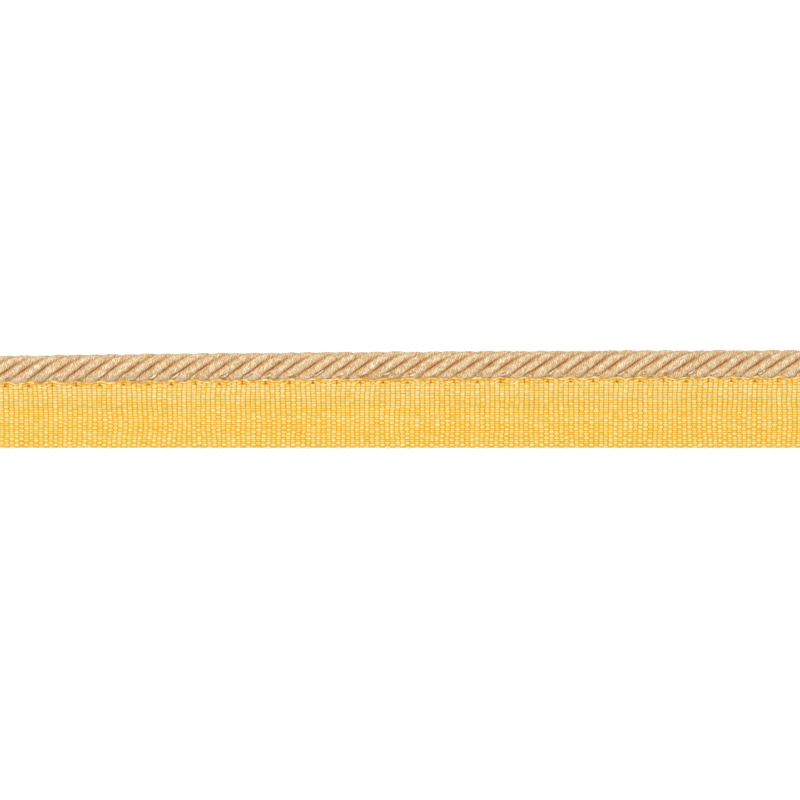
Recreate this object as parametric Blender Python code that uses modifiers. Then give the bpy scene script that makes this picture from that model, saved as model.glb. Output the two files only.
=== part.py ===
"""A cut length of flanged cord trim: a twisted four-strand cord sewn along the edge of a woven tape.

Units are metres and +Z is up. X runs along the trim. Y runs across it, from the tape's selvedge
to the cord. The trim lies on its back at Z = 0, so its face looks up. The origin is the middle
of the trim's footprint.
"""

import math

import bpy
import bmesh

COLLECTION_NAME = "flanged_cord_trim"
CUTTER_COLLECTION_NAME = "cutters"

LENGTH = 0.160
WIDTH = 0.0180

CORD_RADIUS = 0.0025
STRANDS = 4
GROOVE_DEPTH = 0.00085
GROOVE_SHARPNESS = 1.3
TWIST_LENGTH = 0.01319
CORD_CENTRE_HEIGHT = 0.0023
CORD_RISE = 0.00112
CORD_BOW = 0.00029
STEPS_PER_TURN = 18
POINTS_PER_STRAND = 6

TAPE_THICKNESS = 0.0010
TAPE_LIFT = 0.0016
RAMP_WIDTH = 0.0060
RAMP_ROWS = 6
CLEARANCE = 0.00035
STITCH_PITCH = 0.004335
STITCH_OFFSET = 0.0013
SCALLOP_DEPTH = 0.00022
STEPS_PER_STITCH = 4

WELD_DISTANCE = 0.000001
SHARP_EDGE_ANGLE = math.radians(50)

CORD_COLOUR = (0.67, 0.45, 0.235, 1.0)
CORD_ROUGHNESS = 0.75
TAPE_COLOUR = (0.91, 0.60, 0.135, 1.0)
TAPE_ROUGHNESS = 0.8


def clear_scene():
    for old in list(bpy.data.objects):
        bpy.data.objects.remove(old, do_unlink=True)


def make_collection(name):
    collection = bpy.data.collections.new(name)
    bpy.context.scene.collection.children.link(collection)
    return collection


def move_to(collection, obj):
    for holder in list(obj.users_collection):
        holder.objects.unlink(obj)
    collection.objects.link(obj)


def make_material(name, colour, roughness):
    material = bpy.data.materials.new(name)
    material.use_nodes = True
    shader = material.node_tree.nodes["Principled BSDF"]
    shader.inputs["Base Color"].default_value = colour
    shader.inputs["Roughness"].default_value = roughness
    shader.inputs["Metallic"].default_value = 0.0
    return material


def cord_middle_y(x):
    """Y of the cord's centre line. It rises along the trim, bows up at mid-length and ends highest."""
    along = x / LENGTH
    end_y = WIDTH / 2 - CORD_RADIUS
    rise_left = CORD_RISE * (0.5 - along)
    bow = CORD_BOW * (1 - (2 * along) ** 2)
    return end_y - rise_left + bow


def strand_profile(collection):
    """The cord's cross-section, a closed outline with one round lobe for each strand."""
    count = STRANDS * POINTS_PER_STRAND
    curve = bpy.data.curves.new("strand_profile", "CURVE")
    curve.dimensions = "2D"
    spline = curve.splines.new("POLY")
    spline.points.add(count - 1)
    spline.use_cyclic_u = True
    for index, point in enumerate(spline.points):
        turn = index / count
        lobe = abs(math.sin(STRANDS * math.pi * turn))
        radius = CORD_RADIUS - GROOVE_DEPTH * (1 - lobe) ** GROOVE_SHARPNESS
        angle = 2 * math.pi * turn
        point.co = (radius * math.cos(angle), radius * math.sin(angle), 0, 1)
    profile = bpy.data.objects.new("strand_profile", curve)
    profile.hide_render = True
    profile.display_type = "WIRE"
    collection.objects.link(profile)
    return profile


def cord_path(profile, collection):
    """The cord as a bevelled curve. The tilt of each point turns the profile, which lays the twist."""
    steps = round(LENGTH / TWIST_LENGTH * STEPS_PER_TURN)
    curve = bpy.data.curves.new("cord_path", "CURVE")
    curve.dimensions = "3D"
    curve.twist_mode = "Z_UP"
    curve.bevel_mode = "OBJECT"
    curve.bevel_object = profile
    curve.use_fill_caps = True
    spline = curve.splines.new("POLY")
    spline.points.add(steps)
    for index, point in enumerate(spline.points):
        x = LENGTH * (index / steps - 0.5)
        point.co = (x, cord_middle_y(x), CORD_CENTRE_HEIGHT, 1)
        point.tilt = -2 * math.pi * x / TWIST_LENGTH
    path = bpy.data.objects.new("cord_path", curve)
    collection.objects.link(path)
    return path


def mesh_from_curve(path, name, collection):
    """A closed mesh object of the bevelled curve, with its end caps welded on."""
    graph = bpy.context.evaluated_depsgraph_get()
    mesh = bpy.data.meshes.new_from_object(path.evaluated_get(graph))
    mesh.name = name
    shape = bmesh.new()
    shape.from_mesh(mesh)
    bmesh.ops.remove_doubles(shape, verts=shape.verts, dist=WELD_DISTANCE)
    bmesh.ops.recalc_face_normals(shape, faces=shape.faces)
    shape.to_mesh(mesh)
    shape.free()
    solid = bpy.data.objects.new(name, mesh)
    solid.matrix_world = path.matrix_world
    collection.objects.link(solid)
    bpy.data.objects.remove(path, do_unlink=True)
    return solid


def floor_cutter(collection):
    """A box under Z = 0. It takes the flat on which the cord rests."""
    depth = 2 * CORD_RADIUS
    bpy.ops.mesh.primitive_cube_add(size=1, location=(0, 0, -depth / 2))
    cutter = bpy.context.active_object
    cutter.name = "floor_cutter"
    cutter.scale = (2 * LENGTH, 4 * WIDTH, depth)
    cutter.hide_render = True
    cutter.display_type = "WIRE"
    move_to(collection, cutter)
    return cutter


def make_cord(collection, cutters):
    profile = strand_profile(cutters)
    path = cord_path(profile, collection)
    cord = mesh_from_curve(path, "cord", collection)
    flat = cord.modifiers.new("resting_flat", "BOOLEAN")
    flat.operation = "DIFFERENCE"
    flat.solver = "EXACT"
    flat.object = floor_cutter(cutters)
    cord.data.shade_smooth()
    cord.data.set_sharp_from_angle(angle=SHARP_EDGE_ANGLE)
    cord.data.materials.clear()
    cord.data.materials.append(make_material("cord_yarn", CORD_COLOUR, CORD_ROUGHNESS))
    return cord


def tape_edge_y(x):
    """Y of the tape's upper edge. It peaks at each stitch and dips between two stitches."""
    stitch = (x - STITCH_OFFSET) / STITCH_PITCH
    dip = SCALLOP_DEPTH * abs(math.sin(math.pi * stitch))
    return cord_middle_y(x) - CORD_RADIUS - CLEARANCE - dip


def tape_underside_z(distance):
    """Height of the tape's underside, at this distance below its upper edge."""
    share = min(1.0, max(0.0, 1 - distance / RAMP_WIDTH))
    return TAPE_LIFT * share * share * (3 - 2 * share)


def make_tape(collection):
    """A grid laid to the tape's underside, flat to its selvedge and ramped up to the cord."""
    columns = round(LENGTH / STITCH_PITCH * STEPS_PER_STITCH)
    rows = RAMP_ROWS + 1
    bpy.ops.mesh.primitive_grid_add(x_subdivisions=columns, y_subdivisions=rows, size=1)
    tape = bpy.context.active_object
    tape.name = "tape"
    tape.data.name = "tape"
    for vertex in tape.data.vertices:
        x = vertex.co.x * LENGTH
        row = round((vertex.co.y + 0.5) * rows)
        edge = tape_edge_y(x)
        if row == 0:
            y = -WIDTH / 2
        else:
            y = edge - RAMP_WIDTH * (rows - row) / RAMP_ROWS
        vertex.co = (x, y, tape_underside_z(edge - y))
    thickness = tape.modifiers.new("thickness", "SOLIDIFY")
    thickness.thickness = TAPE_THICKNESS
    thickness.offset = 1.0
    thickness.use_even_offset = False
    move_to(collection, tape)
    tape.data.shade_smooth()
    tape.data.set_sharp_from_angle(angle=SHARP_EDGE_ANGLE)
    tape.data.materials.append(make_material("tape_weave", TAPE_COLOUR, TAPE_ROUGHNESS))
    return tape


def main():
    clear_scene()
    parts = make_collection(COLLECTION_NAME)
    cutters = make_collection(CUTTER_COLLECTION_NAME)
    make_cord(parts, cutters)
    make_tape(parts)


main()
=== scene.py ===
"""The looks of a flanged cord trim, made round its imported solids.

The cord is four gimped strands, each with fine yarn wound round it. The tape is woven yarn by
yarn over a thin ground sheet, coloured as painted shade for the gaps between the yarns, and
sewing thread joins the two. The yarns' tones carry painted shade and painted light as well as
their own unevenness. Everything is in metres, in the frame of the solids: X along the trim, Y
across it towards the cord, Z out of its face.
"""

import math

import bpy
import numpy as np
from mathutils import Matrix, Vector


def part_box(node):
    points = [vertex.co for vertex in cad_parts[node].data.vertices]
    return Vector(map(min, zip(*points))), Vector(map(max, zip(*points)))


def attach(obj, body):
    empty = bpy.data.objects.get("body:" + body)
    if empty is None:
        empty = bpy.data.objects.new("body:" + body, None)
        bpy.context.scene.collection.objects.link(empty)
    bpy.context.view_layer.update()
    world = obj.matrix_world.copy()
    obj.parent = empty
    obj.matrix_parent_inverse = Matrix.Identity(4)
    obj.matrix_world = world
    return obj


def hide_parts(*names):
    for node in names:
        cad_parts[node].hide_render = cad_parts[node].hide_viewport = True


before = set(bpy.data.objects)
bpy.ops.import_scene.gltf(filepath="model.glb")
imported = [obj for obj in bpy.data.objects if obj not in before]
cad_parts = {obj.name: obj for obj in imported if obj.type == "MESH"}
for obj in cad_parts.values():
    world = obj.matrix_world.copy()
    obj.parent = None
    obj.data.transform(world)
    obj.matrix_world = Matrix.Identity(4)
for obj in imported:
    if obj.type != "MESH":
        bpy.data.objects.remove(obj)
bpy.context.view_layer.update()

MM = 0.001
TURN = 2 * math.pi

# The photograph's frame

PHOTO_PIXELS = 800
PIXELS_PER_MM = 5.4
PHOTO_SELVEDGE_ROW = 447.5
VIEW_WIDTH = PHOTO_PIXELS / PIXELS_PER_MM * MM

# Sizes of the trim, as in its solids

TAPE_LOW, TAPE_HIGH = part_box("tape")
_, CORD_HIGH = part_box("cord")
LENGTH = TAPE_HIGH.x - TAPE_LOW.x
SELVEDGE_Y = TAPE_LOW.y
CORD_RADIUS = 2.5 * MM
CORD_CENTRE_HEIGHT = 2.3 * MM
CORD_RISE = 1.12 * MM
CORD_BOW = 0.29 * MM
TWIST_LENGTH = 13.19 * MM
STRANDS = 4
STITCH_PITCH = 4.335 * MM
STITCH_OFFSET = 1.32 * MM
STITCH_DRIFT = 0.0028 * MM
STITCH_STRAY = 0.12 * MM
STITCH_END_MARGIN = 0.6 * MM


def smooth_step(t):
    t = np.clip(t, 0.0, 1.0)
    return t * t * (3 - 2 * t)


def mix(a, b, t):
    return a * (1 - t) + b * t


def noise_line(seed, where, spacing):
    """Smooth noise of -1 to 1 along a line, with its bumps about one spacing apart."""
    values = np.random.default_rng(seed).uniform(-1, 1, 1024)
    place = np.asarray(where) / spacing + 512.0
    cell = np.floor(place).astype(int)
    share = smooth_step(place - cell)
    return mix(values[cell % 1024], values[(cell + 1) % 1024], share)


def noise_plane(seed, u, v):
    """Smooth noise of -1 to 1 over a plane, with its bumps about one unit apart."""
    values = np.random.default_rng(seed).uniform(-1, 1, (256, 256))
    u = np.asarray(u, float) + 128.0
    v = np.asarray(v, float) + 128.0
    column = np.floor(u).astype(int)
    row = np.floor(v).astype(int)
    across = smooth_step(u - column)
    along = smooth_step(v - row)
    near = mix(values[column % 256, row % 256], values[(column + 1) % 256, row % 256], across)
    far = mix(
        values[column % 256, (row + 1) % 256],
        values[(column + 1) % 256, (row + 1) % 256],
        across,
    )
    return mix(near, far, along)


def cord_middle_y(x):
    """Y of the cord's centre line, which rises along the trim and bows up at mid-length."""
    along = x / LENGTH
    end_y = CORD_HIGH.y - CORD_RADIUS
    return end_y - CORD_RISE * (0.5 - along) + CORD_BOW * (1 - (2 * along) ** 2)


def stitch_places():
    """X of each needle hole. The pitch drifts a little, and each stitch strays from it."""
    half = int(LENGTH / STITCH_PITCH / 2) + 1
    number = np.arange(-half, half + 1)
    rng = np.random.default_rng(31)
    stray = rng.uniform(-STITCH_STRAY, STITCH_STRAY, len(number))
    places = STITCH_OFFSET + STITCH_PITCH * number - STITCH_DRIFT * number**2 + stray
    return places[np.abs(places) < LENGTH / 2 - STITCH_END_MARGIN]


STITCHES = stitch_places()


def stitch_nearness(x, width):
    """1 at a stitch and 0 more than a few widths from the nearest one."""
    gap = np.abs(np.asarray(x)[..., None] - STITCHES).min(-1)
    return np.exp(-((gap / width) ** 2))


def mesh_object(name, points, faces, tone, warm, lay, material):
    """A smooth-shaded mesh, with the attributes that its material reads.

    tone is how light the yarn is: its own tone with painted shade and painted light in it. The
    second attribute is how much of its painted hollow shade it takes, and lay is the space of its
    fibres.
    """
    mesh = bpy.data.meshes.new(name)
    sizes = np.concatenate([np.full(len(f), f.shape[1]) for f in faces])
    corners = np.concatenate([f.ravel() for f in faces])
    starts = np.concatenate([[0], np.cumsum(sizes)[:-1]])
    mesh.vertices.add(len(points))
    mesh.vertices.foreach_set("co", points.astype(np.float32).ravel())
    mesh.loops.add(len(corners))
    mesh.loops.foreach_set("vertex_index", corners.astype(np.int32))
    mesh.polygons.add(len(sizes))
    mesh.polygons.foreach_set("loop_start", starts.astype(np.int32))
    mesh.polygons.foreach_set("use_smooth", np.ones(len(sizes), bool))
    mesh.update(calc_edges=True)
    for label, values in (("tone", tone), ("warm", warm)):
        layer = mesh.attributes.new(label, "FLOAT", "POINT")
        layer.data.foreach_set("value", values.astype(np.float32).ravel())
    space = mesh.attributes.new("lay", "FLOAT_VECTOR", "POINT")
    space.data.foreach_set("vector", lay.astype(np.float32).ravel())
    mesh.materials.append(material)
    obj = bpy.data.objects.new(name, mesh)
    bpy.context.scene.collection.objects.link(obj)
    return obj


class Yarns:
    """Gathers tubes, each a stack of rings, into one mesh.

    Faces are kept by their number of corners, as a negative number for the caps.
    """

    def __init__(self):
        self.points, self.tones, self.warms, self.lays, self.faces = [], [], [], [], {}
        self.count = 0

    def add(self, rings, tone, along, warm=0.0):
        """rings is steps x sides x 3, in order round the tube. tone and the painted hollow shade
        are steps x sides.

        along is how far each step lies along the yarn, or a fibre space of its own: two
        places across the fibres and one along them.
        """
        steps, sides = rings.shape[:2]
        index = np.arange(steps * sides).reshape(steps, sides) + self.count
        beside = np.roll(index, -1, axis=1)
        quads = np.stack([index[:-1], beside[:-1], beside[1:], index[1:]], -1).reshape(-1, 4)
        middle = rings.mean(1)
        ahead = np.roll(rings, -1, axis=1) - rings
        swept = np.cross(rings - middle[:, None], ahead)[0].sum(0)
        if swept @ (middle[-1] - middle[0]) < 0:
            quads = quads[:, ::-1]
            caps = np.stack([index[0], index[-1][::-1]])
        else:
            caps = np.stack([index[0][::-1], index[-1]])
        turn = np.arange(sides) / sides * TURN
        girth = np.linalg.norm(ahead, axis=-1).sum(1).mean() / TURN
        lay = along
        if along.ndim == 1:
            lay = np.empty((steps, sides, 3))
            lay[..., 0] = girth * np.cos(turn)
            lay[..., 1] = girth * np.sin(turn)
            lay[..., 2] = along[:, None]
        self.points.append(rings.reshape(-1, 3))
        self.tones.append(np.broadcast_to(tone, (steps, sides)).ravel())
        self.warms.append(np.broadcast_to(warm, (steps, sides)).ravel())
        self.lays.append(lay.reshape(-1, 3))
        self.faces.setdefault(4, []).append(quads)
        self.faces.setdefault(-sides, []).append(caps)
        self.count += steps * sides

    def build(self, name, material):
        faces = [np.concatenate(group) for group in self.faces.values()]
        points = np.concatenate(self.points)
        tones = np.concatenate(self.tones)
        warms = np.concatenate(self.warms)
        lays = np.concatenate(self.lays)
        return mesh_object(name, points, faces, tones, warms, lays, material)


def round_tube(path, radius, sides):
    """Rings of a tube along a path of points. Each ring stands square to the path."""
    ahead = np.gradient(path, axis=0)
    ahead /= np.linalg.norm(ahead, axis=1, keepdims=True)
    up = np.array([0.0, 0.0, 1.0])
    side = np.cross(ahead, up)
    side /= np.maximum(np.linalg.norm(side, axis=1, keepdims=True), 1e-9)
    raised = np.cross(side, ahead)
    turn = np.arange(sides) / sides * TURN
    radius = np.broadcast_to(radius, len(path))[:, None, None]
    wide = np.cos(turn)[None, :, None] * side[:, None]
    high = np.sin(turn)[None, :, None] * raised[:, None]
    return path[:, None] + radius * (wide + high)


def path_length(path):
    return np.concatenate([[0], np.cumsum(np.linalg.norm(np.diff(path, axis=0), axis=1))])


# Materials

SPECULAR_LEVEL = 0.10
SHEEN_ROUGHNESS = 0.5
FLECK_DETAIL = 3.0
FLECK_STRETCH = 0.45
FIBRE_DETAIL = 2.0
FIBRE_FINENESS = 2.2
FIBRE_STRETCH = 0.3
FIBRE_STRENGTH = 0.6


def read_attribute(tree, name):
    node = tree.nodes.new("ShaderNodeAttribute")
    node.attribute_name = name
    return node


def yarn_noise(tree, lay, across, along, detail):
    """Noise in the space of the fibres, this fine across them and along them."""
    space = tree.nodes.new("ShaderNodeMapping")
    space.inputs["Scale"].default_value = (across, across, along)
    tree.links.new(lay.outputs["Vector"], space.inputs["Vector"])
    noise = tree.nodes.new("ShaderNodeTexNoise")
    noise.inputs["Scale"].default_value = 1.0
    noise.inputs["Detail"].default_value = detail
    tree.links.new(space.outputs["Vector"], noise.inputs["Vector"])
    return noise


def colour_ramp(tree, stops):
    ramp = tree.nodes.new("ShaderNodeValToRGB")
    first, last = ramp.color_ramp.elements
    first.position = stops[0][0]
    first.color = (*stops[0][1], 1)
    last.position = stops[-1][0]
    last.color = (*stops[-1][1], 1)
    for place, colour in stops[1:-1]:
        ramp.color_ramp.elements.new(place).color = (*colour, 1)
    return ramp


def yarn_material(name, stops, hollow_shade, grain, grain_depth, fleck, roughness, sheen):
    """Dyed yarn. Its colour follows its tone, which carries painted shade and light as well as the
    yarn's own unevenness, with flecks and a fibre grain.

    The hollow-shade colour is painted shade: the tint that the yarn takes where it lies deep
    between others, as much as its attribute says.
    """
    material = bpy.data.materials.new(name)
    material.use_nodes = True
    tree = material.node_tree
    link = tree.links.new
    shader = tree.nodes["Principled BSDF"]
    shader.inputs["Roughness"].default_value = roughness
    shader.inputs["Specular IOR Level"].default_value = SPECULAR_LEVEL
    shader.inputs["Sheen Weight"].default_value = sheen
    shader.inputs["Sheen Roughness"].default_value = SHEEN_ROUGHNESS
    tone = read_attribute(tree, "tone")
    warm = read_attribute(tree, "warm")
    lay = read_attribute(tree, "lay")

    flecks = yarn_noise(tree, lay, grain, grain * FLECK_STRETCH, FLECK_DETAIL)
    centred = tree.nodes.new("ShaderNodeMath")
    centred.operation = "MULTIPLY_ADD"
    centred.inputs[1].default_value = fleck
    centred.inputs[2].default_value = -0.5 * fleck
    link(flecks.outputs["Fac"], centred.inputs[0])
    shaded = tree.nodes.new("ShaderNodeMath")
    shaded.operation = "ADD"
    link(tone.outputs["Fac"], shaded.inputs[0])
    link(centred.outputs["Value"], shaded.inputs[1])
    ramp = colour_ramp(tree, stops)
    link(shaded.outputs["Value"], ramp.inputs["Fac"])
    tint = tree.nodes.new("ShaderNodeMix")
    tint.data_type = "RGBA"
    tint.blend_type = "MULTIPLY"
    tint.inputs["B"].default_value = (*hollow_shade, 1)
    link(warm.outputs["Fac"], tint.inputs["Factor"])
    link(ramp.outputs["Color"], tint.inputs["A"])
    link(tint.outputs["Result"], shader.inputs["Base Color"])

    finer = grain * FIBRE_FINENESS
    fibres = yarn_noise(tree, lay, finer, grain * FIBRE_STRETCH, FIBRE_DETAIL)
    bump = tree.nodes.new("ShaderNodeBump")
    bump.inputs["Strength"].default_value = FIBRE_STRENGTH
    bump.inputs["Distance"].default_value = grain_depth
    link(fibres.outputs["Fac"], bump.inputs["Height"])
    link(bump.outputs["Normal"], shader.inputs["Normal"])
    return material


# The colour of each yarn by its tone, which runs from 0, dark, to 1, light

CORD_STOPS = (
    (0.0, (0.39, 0.155, 0.018)),
    (0.25, (0.48, 0.255, 0.076)),
    (0.50, (0.54, 0.355, 0.170)),
    (0.75, (0.675, 0.500, 0.292)),
    (1.0, (0.87, 0.74, 0.54)),
)
TAPE_STOPS = (
    (0.0, (0.45, 0.18, 0.006)),
    (0.10, (0.77, 0.375, 0.003)),
    (0.25, (0.80, 0.475, 0.022)),
    (0.50, (0.81, 0.590, 0.140)),
    (0.75, (0.83, 0.665, 0.300)),
    (1.0, (0.92, 0.78, 0.48)),
)
THREAD_STOPS = (
    (0.0, (0.40, 0.14, 0.01)),
    (0.5, (0.86, 0.47, 0.05)),
    (1.0, (0.94, 0.78, 0.40)),
)

# Painted warm shade that the yarns are tinted with where they lie deep between others
CORD_HOLLOW_SHADE = (1.0, 0.62, 0.18)
TAPE_HOLLOW_SHADE = (0.62, 0.34, 0.20)

cord_material = yarn_material(
    "cord_yarn_look",
    stops=CORD_STOPS,
    hollow_shade=CORD_HOLLOW_SHADE,
    grain=5200,
    grain_depth=0.03 * MM,
    fleck=0.75,
    roughness=0.62,
    sheen=0.15,
)
tape_material = yarn_material(
    "tape_yarn_look",
    stops=TAPE_STOPS,
    hollow_shade=TAPE_HOLLOW_SHADE,
    grain=9000,
    grain_depth=0.02 * MM,
    fleck=0.25,
    roughness=0.60,
    sheen=0.0,
)
thread_material = yarn_material(
    "sewing_thread_look",
    stops=THREAD_STOPS,
    hollow_shade=TAPE_HOLLOW_SHADE,
    grain=12000,
    grain_depth=0.01 * MM,
    fleck=0.2,
    roughness=0.5,
    sheen=0.05,
)

# The cord: four gimped strands

STRAND_STEP = 0.105 * MM
OUTER_POINTS = 17
INNER_POINTS = 4
WRAP_PITCH = 0.37 * MM
WRAP_LEAN = math.radians(20)
WRAP_RISE = 0.040 * MM
WRAP_FALL = 0.085 * MM
STRAND_MIDDLE_RADIUS = 1.35 * MM
STRAND_HALF_DEPTH = 1.15 * MM
STRAND_SQUARENESS = 2.4
STRAND_FILL = 0.985
UPPER_LEAN = 0.26 * MM
UPPER_SLEW = 1.05 * MM
LOWER_SLEW = 0.22 * MM
LIMB_FILL = 0.55
PINCH_ANGLE = math.radians(148)
PINCH_SPREAD = math.radians(19)
PINCH_WIDTH = 0.60 * MM
PINCH_SHIFT = 0.50 * MM
PINCH_DEPTH = 0.50 * MM
PINCH_SLANT = 0.9 * MM
PINCH_INNER_RADIUS = 0.8 * MM
PINCH_FADE_WIDTH = 1.2 * MM
SWELL_HEIGHT = 0.10 * MM
SWELL_ANGLE = math.radians(155)
SWELL_SPREAD = 0.35
FULL_SLEW_FROM_END = 3 * MM
ENDS_CUT_UNEVENLY = 0.3 * MM
GROOVE_WANDER = math.radians(6.0)
STRAND_PLUMPNESS = 0.08 * MM
WRAP_STRAY = 0.11 * MM
WRAP_UNEVENNESS = 0.04 * MM
GRAIN_RELIEF = 0.010 * MM
FLOOR_GAP = 0.02 * MM

# Tones of the strands, and the painted shade and painted light that make each place darker or
# lighter. Grain and streaks are the yarn's own unevenness.

STRAND_TONE = 0.72
# The gaps between the wraps get painted shade, and their crowns a painted highlight
WRAP_GAP_SHADE_TONE = -0.48
WRAP_CROWN_HIGHLIGHT_TONE = 0.14
GRAIN_TONE = 0.25
WIDE_STREAK_TONE = 0.06
FINE_STREAK_TONE = 0.18
FLANK_SHADE = 0.19
BOTTOM_SHADE = 0.02
UPPER_OUTWARD_SHADE = 0.26
LOWER_OUTWARD_SHADE = 0.18
LIT_RIM = 0.06
UPPER_LIMB_SHADE = 0.05
LOWER_LIMB_SHADE = 0.13
DRAWN_SHADE = 0.12
DRAWN_RIM_LIGHT = 0.50
DRAWN_SHADE_TINT = 0.35
SWELL_LIGHT = 1.6 / MM


def section_angles(samples=720):
    """Angles of the points round a strand's section, close together on its outer side."""
    angle = np.linspace(0, TURN, samples + 1)
    share, depth = outline_point(angle)
    around = share * TURN / STRANDS / 2
    radius = STRAND_MIDDLE_RADIUS + STRAND_HALF_DEPTH * depth
    walked = path_length(np.stack([radius * np.cos(around), radius * np.sin(around)], -1))
    outer = np.linspace(-0.07, 0.57, OUTER_POINTS)
    inner = np.linspace(0.67, 0.83, INNER_POINTS)
    return np.interp(np.mod(np.concatenate([outer, inner]), 1.0), walked / walked[-1], angle)


def outline_point(angle):
    """Share of the strand's angular width and of its depth, on a rounded wedge."""
    power = 2 / STRAND_SQUARENESS
    side, top = -np.cos(angle), np.sin(angle)
    share = np.sign(side) * np.abs(side) ** power
    depth = np.sign(top) * np.abs(top) ** power
    return share, depth


def groove_angle(number, x):
    """Angle round the cord of the groove before this strand. Grooves stray a little."""
    wander = GROOVE_WANDER * noise_line(11, x, 17 * MM)
    own = GROOVE_WANDER * noise_line(20 + number % STRANDS, x, 5 * MM)
    first = TURN / 4
    return first + number * TURN / STRANDS - TURN * x / TWIST_LENGTH + wander + own


def pinch(x, angle):
    """How hard the stitches draw in the cord at a place, 0 to 1, and how far it swells between."""
    around = np.abs(np.mod(angle + math.pi, TURN) - math.pi)
    pull = np.exp(-(((around - PINCH_ANGLE) / PINCH_SPREAD) ** 2))
    gap = x[..., None] - (STITCHES + PINCH_SHIFT) - PINCH_SLANT * (2.6 - around[..., None])
    near = np.exp(-((np.abs(gap).min(-1) / PINCH_WIDTH) ** 2))
    swell = SWELL_HEIGHT * np.exp(-(((around - SWELL_ANGLE) / SWELL_SPREAD) ** 2))
    return pull * near, swell * (1 - near)


def slew(up):
    """How far a strand strays along the cord from a plain twist, at this height on its face."""
    upper = UPPER_LEAN * up + UPPER_SLEW * up**4
    return np.where(up > 0, upper, -LOWER_SLEW * smooth_step(-up / 0.6))


def strand_shade(share, up):
    """Painted shade: how much darker the yarn is made towards a groove, most on the flank that
    faces off the cord, and near the cord's upper and lower edges, less a little painted light in
    the grooves near the lower edge.

    share is -1 and 1 at the strand's two grooves. up is 1 at the cord's upper edge.
    """
    beside = np.abs(share)
    lowest = smooth_step((-up - 0.55) / 0.3)
    inward = smooth_step(share * up / 0.30)
    flank = FLANK_SHADE * np.exp(-(((beside - 0.64) / 0.19) ** 2)) * (1 - 0.75 * inward)
    bottom = BOTTOM_SHADE * smooth_step((beside - 0.75) / 0.20)
    upper = UPPER_OUTWARD_SHADE * smooth_step(-share * up / 0.22)
    lower = LOWER_OUTWARD_SHADE * smooth_step(-share * up / 0.30)
    outward = np.where(up > 0, upper, lower) * smooth_step(beside / 0.5)
    lit = LIT_RIM * lowest * smooth_step((beside - 0.5) / 0.4)
    shade = (flank + bottom + outward - lit) * (1 - 0.5 * lowest)
    return shade + LOWER_LIMB_SHADE * lowest + UPPER_LIMB_SHADE * smooth_step((up - 0.6) / 0.35)


def add_strand(yarns, number):
    """One strand, the whole length of the cord, with the fine yarn wound round it as relief."""
    rng = np.random.default_rng(40 + number)
    cut = LENGTH / 2 - rng.uniform(0.0, ENDS_CUT_UNEVENLY, 2)
    x = np.linspace(-cut[0], cut[1], round(LENGTH / STRAND_STEP) + 1)
    start = groove_angle(number, x)
    end = groove_angle((number + 1) % STRANDS, x)
    end = start + np.mod(end - start, TURN)
    centre = ((start + end) / 2)[:, None]
    half = ((end - start) / 2 * STRAND_FILL)[:, None]
    share, depth = outline_point(section_angles())
    share, depth = share[None], depth[None]
    round_cord = centre + half * share
    up = np.cos(round_cord)
    inside = smooth_step((LENGTH / 2 - np.abs(x)) / FULL_SLEW_FROM_END)[:, None]
    place_x = x[:, None] + slew(up) * inside
    filled = LIMB_FILL * smooth_step((np.abs(up) - 0.65) / 0.30)
    depth = np.where(depth > 0, mix(depth, 1.0, filled), depth)
    girth = round_cord * CORD_RADIUS
    slant = math.tan(WRAP_LEAN) * (girth - girth.min())
    stray = WRAP_STRAY * noise_plane(50 + number, place_x / (0.9 * MM), girth / (0.6 * MM))
    wrap = (place_x + slant + stray) / WRAP_PITCH
    turn = np.floor(wrap)
    crown = np.sqrt(1 - (2 * (wrap - turn) - 1) ** 2)
    uneven = noise_plane(60 + number, turn * 3.7, girth / (0.6 * MM))
    rise = mix(-WRAP_FALL, WRAP_RISE, crown) * (1 + 0.5 * uneven) + WRAP_UNEVENNESS * uneven
    grain = rng.uniform(-1, 1, wrap.shape)
    rise = rise + GRAIN_RELIEF * grain
    plump = STRAND_PLUMPNESS * noise_line(80 + number, x, 3.4 * MM)[:, None]
    radius = STRAND_MIDDLE_RADIUS + plump + STRAND_HALF_DEPTH * depth
    radius = radius + rise * np.clip(depth + 0.6, 0, 1)
    outer = np.clip((radius - PINCH_INNER_RADIUS) / PINCH_FADE_WIDTH, 0, 1)
    drawn, swell = pinch(place_x, round_cord)
    radius = radius + (swell - PINCH_DEPTH * drawn) * outer
    y = cord_middle_y(place_x) + radius * np.cos(round_cord)
    z = CORD_CENTRE_HEIGHT + radius * np.sin(round_cord)
    z = np.where(z < FLOOR_GAP, FLOOR_GAP + 0.02 * (z - FLOOR_GAP), z)
    streak = WIDE_STREAK_TONE * noise_plane(90 + number, turn * 2.3, girth / (0.9 * MM))
    streak += FINE_STREAK_TONE * noise_plane(100 + number, turn * 5.9, girth / (0.38 * MM))
    # Painted shade towards the grooves, at the cord's edges and where the stitches draw the strand
    # in, and painted light on the rim of each pinch and on the swells between stitches.
    shade = strand_shade(share, up) + DRAWN_SHADE * drawn
    shade = shade - DRAWN_RIM_LIGHT * drawn * (1 - drawn) - SWELL_LIGHT * swell
    # The gaps between the wraps are given painted shade and their crowns a painted highlight.
    tone = STRAND_TONE + mix(WRAP_GAP_SHADE_TONE, WRAP_CROWN_HIGHLIGHT_TONE, crown)
    tone = tone - shade + streak + GRAIN_TONE * grain
    # Painted warm shade towards the grooves, less of it near the cord's edges, and in the pinches.
    warm = np.clip((np.abs(share) - 0.55) / 0.45, 0, 1) ** 1.4
    warm = warm * np.where(up > 0, 1 - up, 1 + 0.6 * up)
    warm = np.maximum(warm, DRAWN_SHADE_TINT * drawn)
    lay = np.stack([place_x + slant + stray, radius, girth], -1)
    yarns.add(np.stack([place_x, y, z], -1), np.clip(tone, 0, 1), lay, warm)


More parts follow.
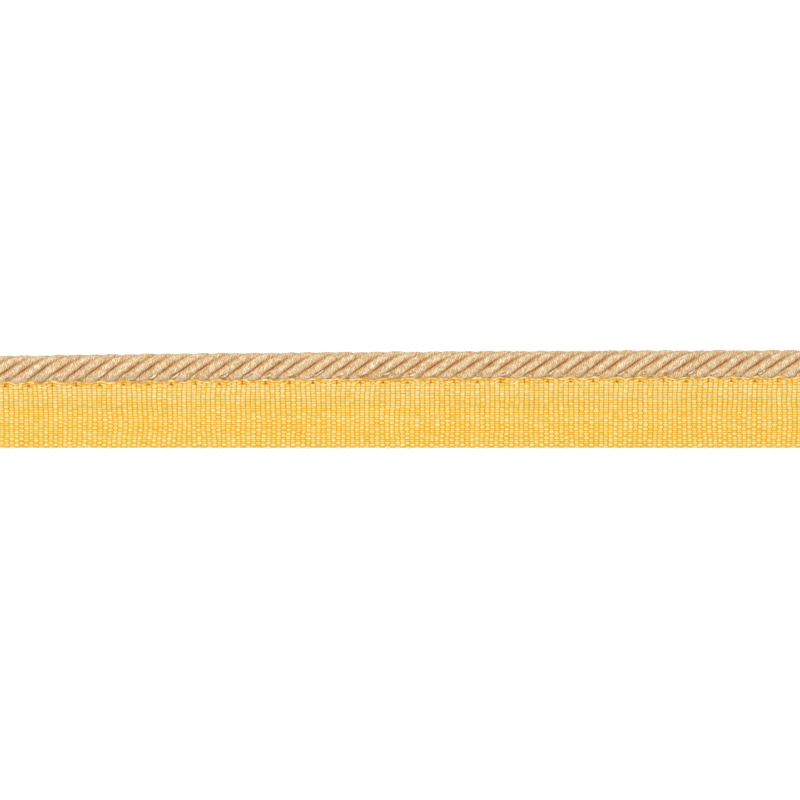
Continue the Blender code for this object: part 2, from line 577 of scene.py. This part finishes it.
def make_cord():
    pieces = []
    for number in range(STRANDS):
        yarns = Yarns()
        add_strand(yarns, number)
        pieces.append(yarns.build(f"strand_{number + 1}", cord_material))
    return pieces


# The tape: a ground sheet of painted shade, warp and weft

ENDS_BELOW = 15
PITCH_BELOW = 0.407 * MM
ENDS_ABOVE = 14
PITCH_ABOVE = 0.450 * MM
FIRST_END = 0.06 * MM
ENDS = ENDS_BELOW + ENDS_ABOVE
DRAWN_HEIGHT = 12.73 * MM
PICKS = round(LENGTH / (0.92 * MM))
PICK_PITCH = LENGTH / PICKS
RAMP_WIDTH = 6.0 * MM
TAPE_FLAT_Z = 0.36 * MM
TAPE_EDGE_Z = 2.1 * MM
EDGE_CURL = 0.75 * MM
EDGE_CURL_WIDTH = 0.6 * MM
SCALLOP_RISE = 0.19 * MM
SCALLOP_DIP = 0.05 * MM
SCALLOP_WIDTH = 1.15 * MM
HOLE_BELOW_EDGE = 0.73 * MM
HOLE_LEAN = 0.3
HOLE_HALF_WIDTH = 0.22 * MM
HOLE_HALF_HEIGHT = 0.24 * MM
HOLE_PUSH = 0.16 * MM
GROUND_COLUMNS = 800
GROUND_ROWS = 42
GROUND_THICKNESS = 0.06 * MM
TUCK_IN = 0.40 * MM
TUCK_DOWN = 0.20 * MM
WARP_SIDES = 8
WEFT_SIDES = 6
WEFT_PARTS = 3
WARP_WAVER = 0.035 * MM
WARP_FINE_WAVER = 0.020 * MM
WARP_HOLE_DIP = 0.12 * MM
LAST_END_PULL = 0.15 * MM
PICK_WAVER = 0.20 * MM
PICK_FINE_WAVER = 0.06 * MM
WEFT_HOLE_DIP = 0.10 * MM
WEFT_SIDE_SHADE = 0.48
WEFT_UNEVENNESS = 0.17
SELVEDGE_WIDTH_SHARE = 0.45
# The selvedge end keeps less of the painted side shade, and the two selvedge ends are given
# painted light.
SELVEDGE_SIDE_SHARE = 0.3
SELVEDGE_PAINTED_LIGHT = {0: 0.30, 1: 0.14}
DARKEST_TONE = 0.06
# Painted warm shade at the needle holes
HOLE_SHADE_TINT = 0.7

# Pairs of values that upper_share mixes. The second one holds in the upper half of the tape

WARP_LIFT = (0.155 * MM, 0.125 * MM)
WARP_SHARPNESS = (0.85, 0.80)
WARP_NARROW = (0.34 * MM, 0.38 * MM)
WARP_WIDE = (0.52 * MM, 0.52 * MM)
WARP_THICKNESS = (0.235 * MM, 0.20 * MM)
WARP_TONE = (0.56, 0.49)
# Crown lights are painted highlights on the tops of the yarns; dip and side shades are painted
# shade where the yarns dive and along their sides. Unevenness is the yarns' own.
WARP_CROWN_LIGHT = (0.10, 0.28)
WARP_DIP_SHADE = (0.36, 0.42)
WARP_SIDE_SHADE = (0.95, 0.90)
WARP_UNEVENNESS = (0.09, 0.12)
WEFT_LIFT = (0.055 * MM, 0.120 * MM)
WEFT_WIDTH = (0.70 * MM, 0.87 * MM)
WEFT_THICKNESS = (0.15 * MM, 0.16 * MM)
WEFT_TONE = (0.52, 0.32)
WEFT_CROWN_LIGHT = (0.24, 0.42)
WEFT_DIP_SHADE = (0.60, 0.28)


def edge_y(x):
    """Y of the tape's upper edge, pulled up on the cord at each stitch."""
    pulled = stitch_nearness(x, SCALLOP_WIDTH)
    return cord_middle_y(x) - CORD_RADIUS - SCALLOP_DIP + (SCALLOP_RISE + SCALLOP_DIP) * pulled


def tape_surface(x, height):
    """Middle of the tape at a drawn height above the selvedge: its Y, Z and slope."""
    share = height / DRAWN_HEIGHT
    plain = cord_middle_y(x) - CORD_RADIUS
    pulled = (edge_y(x) - plain) * smooth_step((share - 0.86) / 0.14)
    y = SELVEDGE_Y + share * (plain - SELVEDGE_Y) + pulled
    below = (plain - y) / RAMP_WIDTH
    lift = smooth_step(1 - below)
    z = mix(TAPE_FLAT_Z, TAPE_EDGE_Z, lift)
    t = np.clip(1 - below, 0, 1)
    slope = (TAPE_EDGE_Z - TAPE_FLAT_Z) * 6 * t * (1 - t) / RAMP_WIDTH
    curl = smooth_step((y - plain + EDGE_CURL_WIDTH) / EDGE_CURL_WIDTH / 1.3)
    z = z + EDGE_CURL * curl
    return y, z, slope


def tape_point(x, height, lift):
    """A point of the tape, lifted off its middle surface by a distance."""
    y, z, slope = tape_surface(x, height)
    square = np.sqrt(1 + slope**2)
    return np.stack([x + 0 * y, y - lift * slope / square, z + lift / square], -1)


def end_height(number):
    """Drawn height of a warp end above the selvedge. Ends lie closer in the lower half."""
    below = FIRST_END + PITCH_BELOW * np.minimum(number, ENDS_BELOW - 1)
    above = PITCH_ABOVE * np.maximum(number - (ENDS_BELOW - 1), 0)
    return below + above


def upper_share(height):
    """1 in the upper half, and less in the lower half, where the warp stands out more."""
    return 0.45 + 0.55 * smooth_step((height - 4.9 * MM) / (2.6 * MM))


def paleness(height):
    """How much lighter the yarns are made in a band below the sewing and in a fainter one below
    it, and how much darker at the sewing.
    """
    upper_band = smooth_step((height - 7.5 * MM) / (3.0 * MM))
    at_sewing = smooth_step((height - 10.9 * MM) / (1.3 * MM))
    lower_band = np.exp(-(((height - 5.3 * MM) / (0.5 * MM)) ** 2))
    return 0.12 * upper_band - 0.14 * at_sewing + 0.06 * lower_band


def pick_x(number, height):
    """X of a weft pick at a height. Picks waver, neighbours together."""
    x = (number + 0.5) * PICK_PITCH - LENGTH / 2
    together = PICK_WAVER * noise_plane(101, x / (6 * MM), height / (4.5 * MM))
    together = together + PICK_FINE_WAVER * noise_plane(103, x / (2.4 * MM), height / (1.7 * MM))
    alone = PICK_FINE_WAVER * noise_plane(102, number * 3.7, height / (1.1 * MM))
    inside = np.clip((LENGTH / 2 - np.abs(x)) / (3 * MM), 0, 1)
    return x + (together + alone) * inside


def hole_push(x, height):
    """How the needle holes part the yarns: moves along and across the tape, and a dip."""
    gap_x = np.asarray(x)[..., None] - STITCHES
    nearest = np.take_along_axis(gap_x, np.abs(gap_x).argmin(-1)[..., None], -1)[..., 0]
    gap_y = height - (DRAWN_HEIGHT - HOLE_BELOW_EDGE)
    leaning = nearest + HOLE_LEAN * gap_y
    near = np.exp(-((leaning / HOLE_HALF_WIDTH) ** 2) - (gap_y / HOLE_HALF_HEIGHT) ** 2)
    along = HOLE_PUSH * np.tanh(leaning / (0.10 * MM)) * near
    across = HOLE_PUSH * np.tanh(gap_y / (0.06 * MM)) * near
    return along, across, near


def add_warp_end(yarns, number):
    """One warp end, over and under the picks by turns."""
    height = end_height(number)
    upper = upper_share(height)
    part = np.array([0, 0.34, 0.5, 0.66])
    picks = np.arange(-1, PICKS + 1)
    phase = (picks[:, None] + part[None]).ravel()
    level = height + WARP_WAVER * noise_line(120 + number, phase, 3.1)
    level = level + WARP_FINE_WAVER * noise_line(230 + number, phase, 0.9)
    here = pick_x(np.floor(phase), height)
    ahead = pick_x(np.floor(phase) + 1, height)
    x = mix(here, ahead, phase - np.floor(phase))
    ends = np.random.default_rng(150 + number).uniform(0.0, ENDS_CUT_UNEVENLY, 2)
    inside = (x > -LENGTH / 2 + ends[0]) & (x < LENGTH / 2 - ends[1])
    x, phase, level = x[inside], phase[inside], level[inside]
    wave = np.cos(math.pi * (phase + number))
    swing = np.sign(wave) * np.abs(wave) ** mix(*WARP_SHARPNESS, upper)
    float_number = np.round(phase)
    fullness = noise_plane(170, float_number * 7.7, number * 5.3)
    lift = mix(*WARP_LIFT, upper) * swing * (1 + 0.12 * fullness)
    width = mix(mix(*WARP_NARROW, upper), mix(*WARP_WIDE, upper), np.abs(wave) ** 0.4)
    width = width * (1 + 0.22 * fullness) * (SELVEDGE_WIDTH_SHARE if number == 0 else 1.0)
    thick = mix(*WARP_THICKNESS, upper)
    _, across, near = hole_push(x, level)
    lift = lift - WARP_HOLE_DIP * near
    level = level + across
    if number == ENDS - 1:
        level = level + LAST_END_PULL * stitch_nearness(x, 1.0 * MM)
    turn = np.arange(WARP_SIDES) / WARP_SIDES * TURN + TURN / WARP_SIDES / 2
    side = np.sign(np.cos(turn)) * np.abs(np.cos(turn)) ** 0.5
    top = np.sign(np.sin(turn)) * np.abs(np.sin(turn)) ** 0.9
    ring_height = level[:, None] + width[:, None] / 2 * side[None]
    ring_lift = lift[:, None] + thick / 2 * top[None]
    rings = tape_point(np.broadcast_to(x[:, None], ring_height.shape), ring_height, ring_lift)
    crown = ring_lift / (0.30 * MM)
    own = mix(*WARP_UNEVENNESS, upper) * noise_plane(180, float_number * 3.3, number * 9.1)
    own = own + 0.06 * fullness
    streak = 0.03 * noise_line(190 + number, x, 6 * MM)
    # Painted highlight on the crown, painted shade where the end dives and along its sides. The
    # selvedge ends get painted light in place of the bands.
    face = mix(*WARP_TONE, upper) + mix(*WARP_CROWN_LIGHT, upper) * np.abs(crown)
    dip = mix(*WARP_DIP_SHADE, upper) * (1 - smooth_step((np.abs(wave) - 0.1) / 0.5))
    pale = SELVEDGE_PAINTED_LIGHT.get(number, paleness(height))
    edges = mix(*WARP_SIDE_SHADE, upper) * np.abs(side[None]) ** 7
    edges = edges * (SELVEDGE_SIDE_SHARE if number == 0 else 1.0)
    tone = face + (own + streak - dip + pale)[:, None] - edges
    yarns.add(rings, np.clip(tone, DARKEST_TONE, 1), x, HOLE_SHADE_TINT * near[:, None])


def add_pick(yarns, number):
    """One weft pick, from its turn at the selvedge to the tape's upper edge."""
    part = np.arange(0, (ENDS - 1) * WEFT_PARTS + 1) / WEFT_PARTS
    lower = np.floor(part).astype(int)
    height = mix(end_height(lower), end_height(np.minimum(lower + 1, ENDS - 1)), part - lower)
    first = np.array([0.02, 0.09]) * MM
    last = height[-1] + np.array([0.20, 0.34]) * MM
    height = np.concatenate([first, height, last])
    upper = upper_share(height)
    over = np.concatenate([[-0.62, -0.35], part, [ENDS - 0.6, ENDS - 0.3]])
    wave = -np.cos(math.pi * (over + number))
    lift = mix(*WEFT_LIFT, upper) * wave
    lift[0] = 0
    x = pick_x(number, height)
    along, _, near = hole_push(x, height)
    x = x + along
    lift = lift - WEFT_HOLE_DIP * near
    width = mix(*WEFT_WIDTH, upper) * (1 + 0.06 * noise_plane(210, number * 3.1, over * 0.7))
    width = width * (1 - 0.45 * near)
    width[0] *= 0.45
    width[1] *= 0.8
    width[-3:] *= np.array([0.97, 0.90, 0.75])
    thick = mix(*WEFT_THICKNESS, upper)
    turn = np.arange(WEFT_SIDES) / WEFT_SIDES * TURN
    side = np.sign(np.cos(turn)) * np.abs(np.cos(turn)) ** 0.55
    top = np.sin(turn)
    ring_x = x[:, None] + width[:, None] / 2 * side[None]
    ring_lift = lift[:, None] + thick[:, None] / 2 * top[None]
    rings = tape_point(ring_x, np.broadcast_to(height[:, None], ring_x.shape), ring_lift)
    own = WEFT_UNEVENNESS * noise_plane(220, number * 2.7, over * 1.9)[:, None]
    crown = np.abs(ring_lift) / (0.20 * MM)
    share = upper[:, None]
    # Painted highlight on the crown, painted shade along the sides and where the pick dives.
    face = mix(*WEFT_TONE, share) + mix(*WEFT_CROWN_LIGHT, share) * crown
    dark_sides = WEFT_SIDE_SHADE * np.abs(side[None]) ** 8
    dip = mix(*WEFT_DIP_SHADE, upper) * (1 - smooth_step((np.abs(wave) - 0.4) / 0.5))
    dyed = 0.05 * noise_line(225, number * 1.9, 1.0)
    tone = face + own + dyed - dark_sides + (paleness(height) - dip)[:, None]
    yarns.add(rings, np.clip(tone, DARKEST_TONE, 1), height, HOLE_SHADE_TINT * near[:, None])


def make_gap_shade_sheet():
    """The thin sheet inside the weave, coloured as painted shade that shows in the gaps between
    the yarns. Its upper edge is tucked in between the strands.
    """
    columns, rows = GROUND_COLUMNS, GROUND_ROWS
    x = np.linspace(-LENGTH / 2 + 0.3 * MM, LENGTH / 2 - 0.3 * MM, columns)
    height = np.linspace(0.12 * MM, DRAWN_HEIGHT - 0.10 * MM, rows)
    grid_x, grid_height = np.meshgrid(x, height, indexing="ij")
    half = GROUND_THICKNESS / 2
    near = hole_push(grid_x, grid_height)[2]
    tucked = np.array([0.5, 1.0])
    edge = smooth_step((grid_height - DRAWN_HEIGHT) / (0.9 * MM) + 1)
    raised = 0.06 * MM * edge - 0.1 * MM * near
    front = tape_point(grid_x, grid_height, half + raised)
    back = tape_point(grid_x, grid_height, -half + raised)
    for side in (front, back):
        side[:, -2:, 1] += TUCK_IN * tucked
        side[:, -2:, 2] -= TUCK_DOWN * tucked
    front = front.reshape(-1, 3)
    back = back.reshape(-1, 3)
    index = np.arange(columns * rows).reshape(columns, rows)
    quads = np.stack([index[:-1, :-1], index[1:, :-1], index[1:, 1:], index[:-1, 1:]], -1)
    quads = quads.reshape(-1, 4)
    rim = np.concatenate([index[:, 0], index[-1, 1:], index[-2::-1, -1], index[0, -2:0:-1]])
    beside = np.roll(rim, -1)
    under = len(front)
    walls = np.stack([rim, rim + under, beside + under, beside], -1)
    faces = [quads, quads[:, ::-1] + under, walls]
    points = np.concatenate([front, back])
    # Painted shade for the gaps, darkest at the needle holes and less dark towards the upper edge;
    # the holes also take the painted warm shade.
    tone = np.tile((0.36 + 0.30 * edge - 0.6 * near).ravel(), 2)
    warm = np.tile(near.ravel(), 2)
    return mesh_object("tape_gap_shade_sheet", points, faces, tone, warm, points, tape_material)


def make_warp():
    lower, upper = Yarns(), Yarns()
    for number in range(ENDS):
        add_warp_end(lower if number < ENDS_BELOW else upper, number)
    low = lower.build("tape_warp_lower", tape_material)
    return [low, upper.build("tape_warp_upper", tape_material)]


def make_weft():
    yarns = Yarns()
    for number in range(PICKS):
        add_pick(yarns, number)
    return yarns.build("tape_weft", tape_material)


# Sewing

THREAD_RADIUS = 0.11 * MM
SAGGING_RADIUS = 0.105 * MM
HOLE_THREAD_RADIUS = 0.20 * MM
EDGE_YARN_RADIUS = 0.125 * MM
EDGE_YARNS_BELOW = (0.06 * MM, 0.30 * MM)
EDGE_YARN_TONES = (0.58, 0.70)
FORKED_SHARE = 0.3
SHOWING_SHARE = 0.4
LOOPED_SHARE = 0.8


def on_cord(x, angle, depth):
    """A point at this angle round the cord, a depth below its surface."""
    radius = CORD_RADIUS - depth
    y = cord_middle_y(x) + radius * np.cos(angle)
    z = CORD_CENTRE_HEIGHT + radius * np.sin(angle)
    return np.array([x, y, z])


def smooth_path(points, count):
    """A curve of evenly spaced points along given ones, with its corners rounded."""
    points = np.array(points)
    knots = path_length(points)
    fine = np.linspace(0, knots[-1], count)
    raw = np.stack([np.interp(fine, knots, points[:, axis]) for axis in range(3)], -1)
    for _ in range(2):
        raw[1:-1] = (raw[:-2] + 2 * raw[1:-1] + raw[2:]) / 4
    return raw


def make_edge_yarns():
    """The thick yarn that the tape's upper edge is bound over, and a second one beside it."""
    yarns = Yarns()
    x = np.arange(-LENGTH / 2 + 0.1 * MM, LENGTH / 2 - 0.1 * MM, 0.3 * MM)
    for number, (below, tone) in enumerate(zip(EDGE_YARNS_BELOW, EDGE_YARN_TONES)):
        pulled = 0.10 * MM * number * stitch_nearness(x, 1.0 * MM)
        height = DRAWN_HEIGHT - below + pulled
        lift = 0.02 * MM * noise_line(301 + number, x, 1.5 * MM) + 0.08 * MM * number
        path = tape_point(x, height, lift)
        radius = EDGE_YARN_RADIUS * (1 + 0.30 * noise_line(304 + number, x, 0.7 * MM))
        shade = tone + 0.42 * noise_line(307 + number, x, 0.45 * MM)[:, None]
        yarns.add(round_tube(path, radius, 8), shade, x)
    return yarns.build("tape_edge_yarns", thread_material)


def add_sagging_threads(yarns):
    """The thread that lies on the tape's face, sagging a little from hole to hole."""
    for left, right in zip(STITCHES[:-1], STITCHES[1:]):
        x = np.linspace(left + 0.16 * MM, right - 0.16 * MM, 22)
        sag = np.sin(math.pi * (x - left) / (right - left))
        stray = 0.03 * MM * noise_line(321, x, 0.8 * MM)
        height = DRAWN_HEIGHT - HOLE_BELOW_EDGE + mix(0.22, -0.20, sag) * MM + stray
        lift = mix(0.02, 0.19, smooth_step(sag / 0.4)) * MM
        shade = 0.74 + 0.30 * noise_line(322, x, 0.5 * MM)[:, None]
        yarns.add(round_tube(tape_point(x, height, lift), SAGGING_RADIUS, 6), shade, x)


def make_stitches():
    """Each stitch runs from its hole to the cord, behind the tape. Some also fork in front."""
    yarns = Yarns()
    add_sagging_threads(yarns)
    rng = np.random.default_rng(330)
    for place in STITCHES:
        lean = rng.uniform(0.3, 0.6) * MM
        hole = tape_point(np.array(place), np.array(DRAWN_HEIGHT - HOLE_BELOW_EDGE), 0.0)
        if rng.uniform() < FORKED_SHARE:
            for way in (-1, 1):
                front = [
                    hole + [way * 0.12 * MM, 0.02 * MM, -0.15 * MM],
                    hole + [way * 0.22 * MM, 0.16 * MM, 0.16 * MM],
                    hole + [way * 0.42 * MM, 0.50 * MM, 0.36 * MM],
                    hole + [way * 0.60 * MM, 0.72 * MM, 0.12 * MM],
                ]
                path = smooth_path(front, 12)
                yarns.add(round_tube(path, 0.9 * THREAD_RADIUS, 6), 0.95, path_length(path))
        back = [
            hole + [0, 0, 0.05 * MM],
            hole + [0.02 * MM, -0.05 * MM, -0.42 * MM],
            hole + [0.3 * MM, 0.5 * MM, -0.75 * MM],
            on_cord(place + 0.8 * lean, math.radians(-155), 0.05 * MM),
            on_cord(place + 1.6 * lean, math.radians(-136), 0.25 * MM),
            on_cord(place + 2.0 * lean, math.radians(-128), 0.75 * MM),
        ]
        path = smooth_path(back, 14)
        yarns.add(round_tube(path, THREAD_RADIUS, 6), 0.55, path_length(path))
    return yarns.build("sewing_stitches", thread_material)


def make_sunk_threads():
    """The bit of thread that shows down in each needle hole, made dark with painted shade."""
    yarns = Yarns()
    rng = np.random.default_rng(340)
    for place in STITCHES:
        hole = tape_point(np.array(place), np.array(DRAWN_HEIGHT - HOLE_BELOW_EDGE), 0.0)
        half = rng.uniform(0.13, 0.20) * MM
        lean = rng.uniform(0.1, 0.5) * half
        bit = [
            hole + [lean, -half, -0.05 * MM],
            hole + [0.4 * lean, -0.4 * half, 0.09 * MM],
            hole + [-0.4 * lean, 0.4 * half, 0.12 * MM],
            hole + [-lean, half, 0.02 * MM],
        ]
        path = smooth_path(bit, 8)
        radius = HOLE_THREAD_RADIUS * rng.uniform(0.65, 1.0)
        # Painted shade down in the hole: a dark tone and most of the warm hollow shade
        shade = rng.uniform(0.15, 0.55)
        yarns.add(round_tube(path, radius, 8), shade, path_length(path), 0.75)
    return yarns.build("sewing_holes", thread_material)


def make_thread_bits():
    """Short bits of thread that show between the strands beside some stitches."""
    yarns = Yarns()
    rng = np.random.default_rng(350)
    for place in STITCHES[rng.uniform(size=len(STITCHES)) < SHOWING_SHARE]:
        x = place + rng.uniform(0.9, 2.2) * MM
        angle = math.radians(rng.uniform(122, 140))
        reach = rng.uniform(0.3, 0.5) * MM
        tilt = rng.uniform(-0.06, 0.06)
        bit = [
            on_cord(x - reach, angle - tilt, 0.45 * MM),
            on_cord(x - 0.5 * reach, angle - 0.5 * tilt, 0.02 * MM),
            on_cord(x + 0.2 * reach, angle + 0.3 * tilt, -0.02 * MM),
            on_cord(x + reach, angle + tilt, 0.40 * MM),
        ]
        path = smooth_path(bit, 10)
        yarns.add(round_tube(path, 0.8 * THREAD_RADIUS, 6), 0.2, path_length(path))
    return yarns.build("sewing_thread_bits", thread_material)


def make_drawn_loops():
    """Small loops of the strands' own yarn, drawn out over a groove by some of the stitches."""
    yarns = Yarns()
    rng = np.random.default_rng(360)
    for place in STITCHES[rng.uniform(size=len(STITCHES)) < LOOPED_SHARE]:
        x = place + rng.uniform(0.3, 1.2) * MM
        reach = rng.uniform(0.55, 0.95) * MM
        low = math.radians(rng.uniform(134, 145))
        rise = math.radians(rng.uniform(14, 30))
        loop = [
            on_cord(x - reach, low, 0.25 * MM),
            on_cord(x - 0.7 * reach, low - 0.15 * rise, -0.08 * MM),
            on_cord(x + 0.4 * reach, low - 0.7 * rise, -0.10 * MM),
            on_cord(x + reach, low - rise, 0.30 * MM),
        ]
        path = smooth_path(loop, 24)
        along = path_length(path)
        belly = 0.55 + 0.45 * np.sin(math.pi * along / along[-1])
        radius = rng.uniform(0.15, 0.21) * MM * belly
        shade = 0.84 + 0.30 * noise_line(361, along + place, 0.16 * MM)[:, None]
        yarns.add(round_tube(path, radius, 10), np.clip(shade, 0, 1), along)
    return yarns.build("cord_drawn_loops", cord_material)


# Stage, light and camera

FLOOR_SIZE = 4.0
FLOOR_BELOW = 0.02 * MM
FLOOR_WHITE = 0.92
WORLD_STRENGTH = 0.55
LAMP_SIZE = 0.30
LAMP_POWER = 4.85
LAMP_PLACE = (-0.07, 0.12, 0.80)
LENS_MM = 200
SENSOR_MM = 36


def make_floor():
    bpy.ops.mesh.primitive_plane_add(size=FLOOR_SIZE, location=(0, 0, -FLOOR_BELOW))
    floor = bpy.context.active_object
    floor.name = "floor"
    material = bpy.data.materials.new("floor_white")
    material.use_nodes = True
    shader = material.node_tree.nodes["Principled BSDF"]
    shader.inputs["Base Color"].default_value = (FLOOR_WHITE, FLOOR_WHITE, FLOOR_WHITE, 1)
    shader.inputs["Roughness"].default_value = 0.9
    shader.inputs["Specular IOR Level"].default_value = 0.0
    floor.data.materials.append(material)


def make_light():
    world = bpy.data.worlds.new("studio")
    world.use_nodes = True
    background = world.node_tree.nodes["Background"]
    background.inputs["Color"].default_value = (1, 1, 1, 1)
    background.inputs["Strength"].default_value = WORLD_STRENGTH
    bpy.context.scene.world = world
    data = bpy.data.lights.new("softbox", "AREA")
    data.shape = "SQUARE"
    data.size = LAMP_SIZE
    data.energy = LAMP_POWER
    lamp = bpy.data.objects.new("softbox", data)
    lamp.location = LAMP_PLACE
    aim = -lamp.location.normalized()
    lamp.rotation_euler = aim.to_track_quat("-Z", "Y").to_euler()
    bpy.context.scene.collection.objects.link(lamp)


def make_camera():
    data = bpy.data.cameras.new("camera")
    data.lens = LENS_MM
    data.sensor_fit = "HORIZONTAL"
    data.sensor_width = SENSOR_MM
    data.clip_start = 0.01
    distance = VIEW_WIDTH * LENS_MM / SENSOR_MM
    camera = bpy.data.objects.new("camera", data)
    middle_row = PHOTO_PIXELS / 2
    centre_y = SELVEDGE_Y + (PHOTO_SELVEDGE_ROW - middle_row) / PIXELS_PER_MM * MM
    camera.location = (0, centre_y, distance + 2.0 * MM)
    bpy.context.scene.collection.objects.link(camera)
    bpy.context.scene.camera = camera


make_camera()
make_floor()
make_light()

cord_pieces = [*make_cord(), make_drawn_loops()]
for piece in cord_pieces:
    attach(piece, "root")
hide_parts("cord")

gap_shade_sheet = make_gap_shade_sheet()
weave = [gap_shade_sheet, *make_warp(), make_weft(), make_edge_yarns()]
for piece in weave:
    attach(piece, "root")
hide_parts("tape")

sewing = [make_stitches(), make_sunk_threads(), make_thread_bits()]
for piece in sewing:
    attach(piece, "root")

bpy.context.scene.view_settings.view_transform = "Standard"
